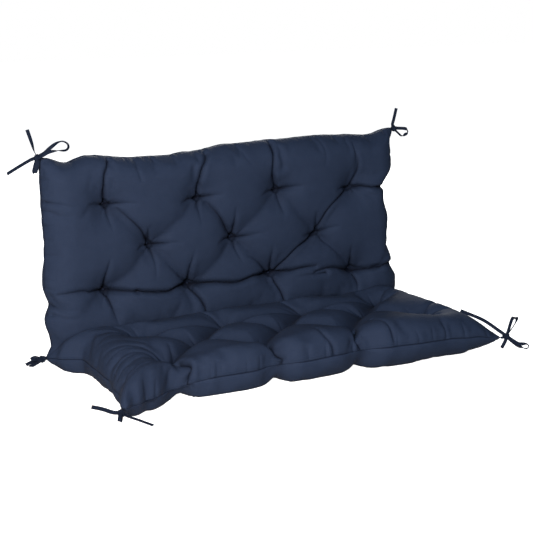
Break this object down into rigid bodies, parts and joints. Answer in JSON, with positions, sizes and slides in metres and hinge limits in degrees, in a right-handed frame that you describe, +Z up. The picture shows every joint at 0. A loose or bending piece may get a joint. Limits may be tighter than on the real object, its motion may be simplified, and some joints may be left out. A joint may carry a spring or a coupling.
{
  "type": "bench cushion",
  "caption": "Long tufted bench cushion in navy cloth, folded at a sewn channel into a flat seat and an upright back, with tapes tied in bows at its corners and at the fold.",
  "frame": {"origin": "on the floor, at the middle of the box round the cushion and its ties", "axes": "+Z up, -Y the front edge of the seat, +Y the back, +X the right side seen from the front"},
  "size_m": [1.3332, 0.6735, 0.6678],
  "materials": {
    "navy_cloth": "matt woven",
    "navy_tape": "woven tape"
  },
  "bodies": {
    "root": {"cushion": "navy_cloth", "tie_top_left": "navy_tape", "tie_top_right": "navy_tape", "tie_front_left": "navy_tape", "tie_front_right": "navy_tape", "tie_fold_left": "navy_tape", "tie_fold_right": "navy_tape"}
  },
  "joints": []
}
